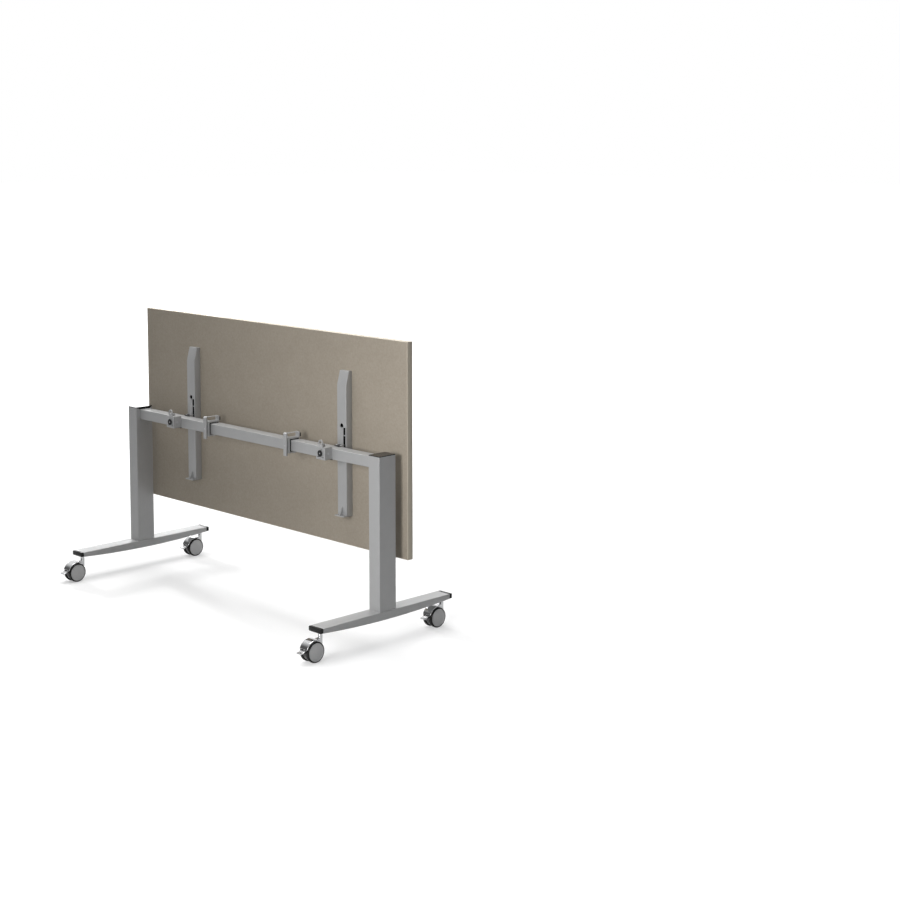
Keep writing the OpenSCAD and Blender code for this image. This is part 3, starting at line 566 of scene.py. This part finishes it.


# Painted shade: a near-black, almost unlit finish on sheets that stand for the shade in each arm's
# slit and hole.
r = finish_named("painted_shade_inside")
inside = r.surface(r.make("ShaderNodeBsdfPrincipled", sockets={
    "Base Color": (0.004, 0.004, 0.004, 1), "Roughness": 0.9, "Specular IOR Level": 0.05}))
HINGE_TO_FRONT, HINGE_TO_HOLE, HOLE_REACH, BOX_BOTTOM = 11.5 * MM, 77.75 * MM, 14 * MM, 72.6 * MM
SLIT_LEFT, SLIT_RIGHT, SLIT_BOTTOM, SLIT_TOP = 6.5 * MM, 21.5 * MM, -3.6 * MM, 72 * MM
BEHIND_WALL, HOOK_ROOM, SKIN = 2.6 * MM, 14.0 * MM, 0.5 * MM
pin_low, pin_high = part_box("hinge_pins")
hinge = (pin_low + pin_high) / 2
arm_front = hinge.y + HINGE_TO_FRONT
hole_height = hinge.z + HINGE_TO_HOLE
for side in ("left", "right"):
    low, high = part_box(f"support_arm_{side}")
    x = (low.x + high.x) / 2
    bm = bmesh.new()
    plate(bm, (x + SLIT_LEFT, arm_front + 2.7 * MM, hinge.z + SLIT_BOTTOM),
          (x + SLIT_RIGHT, arm_front + 3.3 * MM, hinge.z + SLIT_TOP))
    left, right = x - HOLE_REACH, x + HOLE_REACH
    near, deep = arm_front + BEHIND_WALL, arm_front + HOOK_ROOM
    bottom, top = hinge.z + BOX_BOTTOM, hole_height + HOLE_REACH
    plate(bm, (left, deep, bottom), (right, deep + SKIN, top))
    plate(bm, (left - SKIN, near, bottom), (left, deep + SKIN, top))
    plate(bm, (right, near, bottom), (right + SKIN, deep + SKIN, top))
    plate(bm, (left, near, bottom - SKIN), (right, deep + SKIN, bottom))
    plate(bm, (left, near, top), (right, deep + SKIN, top + SKIN))
    bmesh.ops.recalc_face_normals(bm, faces=bm.faces[:])
    keep(bm, f"arm_painted_shade_{side}", "top", "dark_steel", inside)
print("arm front at", round(arm_front, 4), "hole at height", round(hole_height, 4))

# %% [markdown]
# ## Studio
#
# The floor and the room are white for the camera and for reflections, through Light Path, so the
# lamps needn't burn them out. The floor's own glow is what the camera sees, its diffuse part keeps
# the shadows, and a darker diffuse floor is all that the other light meets. The room's light on
# surfaces is weak, and stronger from the front left and from the right. A large soft lamp overhead
# lights the upward faces. A small one far off to the left, at a low angle, throws the long soft
# shadows of feet and crossbar to the right. A narrow one at the front right makes the board's
# right-hand end the brighter one, and a faint strip behind the left end rims the far edges. For
# reflections only, the room is dark all round from the horizon to halfway up, but not behind the
# table, which gives chrome its black bands.

# %% World and floor
TOWARDS_CAMERA, FRONT_LEFT = (0.7071, -0.7071, 0.0), (-0.8, -0.6, 0.0)
FLOOR_REACH = 40.0


def seen(r):
    """1 for camera, glossy and transmission rays, 0 for the light that spreads over surfaces."""
    camera_ray = r.make("ShaderNodeLightPath", out="Is Camera Ray")
    glossy_ray = r.make("ShaderNodeLightPath", out="Is Glossy Ray")
    clear_ray = r.make("ShaderNodeLightPath", out="Is Transmission Ray")
    return (camera_ray + clear_ray + glossy_ray).clamped(), glossy_ray


room = bpy.data.worlds.new("studio_room")
scene.world = room
r = Recipe(room)
direction = r.make("ShaderNodeTexCoord", out="Generated")
facing = r.make("ShaderNodeVectorMath", {"operation": "DOT_PRODUCT"},
                {0: direction, 1: TOWARDS_CAMERA}, out="Value")
height = r.make("ShaderNodeSeparateXYZ", sockets={"Vector": direction}, out="Z")
dark_side = (((facing + 0.62) * 3.0).clamped() * ((height + 0.02) * 12.0).clamped()
             * ((0.80 - height) * 3.0).clamped())
shown, glossy_ray = seen(r)
tone = 1 - dark_side * glossy_ray * 0.88
seen_room = r.make("ShaderNodeBackground", sockets={"Color": (1, 1, 1, 1), "Strength": tone})
from_left = r.make("ShaderNodeVectorMath", {"operation": "DOT_PRODUCT"},
                   {0: direction, 1: FRONT_LEFT}, out="Value")
rightness = r.make("ShaderNodeSeparateXYZ", sockets={"Vector": direction}, out="X")
ambient = 0.105 + from_left.clamped() * 0.30 + rightness.clamped() * 0.11
lit_room = r.make("ShaderNodeBackground", sockets={
    "Color": (0.97, 0.985, 1.0, 1), "Strength": ambient})
both = r.make("ShaderNodeMixShader", sockets={0: shown, 1: lit_room, 2: seen_room})
r.output("ShaderNodeOutputWorld", both)

r = finish_named("white_floor")
paper = r.grain(0.4, 2.0)
spread = r.make("ShaderNodeBsdfDiffuse", sockets={
    "Color": r.tint(paper, (0.54, 0.54, 0.54), (0.56, 0.56, 0.56))})
bounce = r.make("ShaderNodeBsdfDiffuse", sockets={"Color": (0.36, 0.36, 0.36, 1)})
from_middle = r.make("ShaderNodeVectorMath", {"operation": "LENGTH"}, {0: r.place()}, out="Value")
far = ((from_middle - 1.2) * 0.4).clamped()
rightward = r.make("ShaderNodeSeparateXYZ", sockets={"Vector": r.place()}, out="X")
shown, glossy_ray = seen(r)
# Painted light: the floor's glow grows towards +X, where the lamps light it less, so faint shadows
# there wash out. Reflections get only a little of the glow.
strength = 0.38 + ((rightward + 0.5) * 0.3).clamped() * 0.12 + far * 0.6
glow = r.make("ShaderNodeEmission", sockets={
    "Color": (1, 1, 1, 1), "Strength": strength * (1 - glossy_ray * 0.85)})
bright = r.make("ShaderNodeAddShader", sockets={0: spread, 1: glow})
r.surface(r.make("ShaderNodeMixShader", sockets={0: shown, 1: bounce, 2: bright}))
bm = bmesh.new()
bmesh.ops.create_grid(bm, x_segments=1, y_segments=1, size=FLOOR_REACH)
floor_mesh = bpy.data.meshes.new("studio_floor")
bm.to_mesh(floor_mesh)
bm.free()
floor = bpy.data.objects.new("studio_floor", floor_mesh)
scene.collection.objects.link(floor)
floor_mesh.materials.append(r.owner)
print("floor and room ready")

# %% Lamps
def soft_lamp(name, place, aim, size, power, spread=180):
    data = bpy.data.lights.new(name, "AREA")
    data.spread = math.radians(spread)
    data.shape, data.size, data.energy = "SQUARE", size, power
    lamp = bpy.data.objects.new(name, data)
    scene.collection.objects.link(lamp)
    lamp.location = place
    lamp.rotation_euler = (Vector(place) - Vector(aim)).to_track_quat("Z", "Y").to_euler()
    lamp.visible_camera = False


soft_lamp("overhead_softbox", (-0.6, 0.3, 3.6), (0.0, 0.1, 0.3), 3.2, 155)
soft_lamp("left_spot", (-9.9, 1.8, 3.65), (0.0, 0.0, 0.3), 0.8, 600)
soft_lamp("front_right_softbox", (1.4, -2.5, 1.3), (1.3, 0.0, 0.7), 1.1, 17, spread=90)
soft_lamp("back_left_strip", (-4.6, 2.9, 1.7), (-0.5, 0.0, 0.7), 0.9, 14)

# %% [markdown]
# ## Finish
#
# The dressed table may not outgrow the CAD part.

# %% Count the pieces
print("pieces made:", len(made))
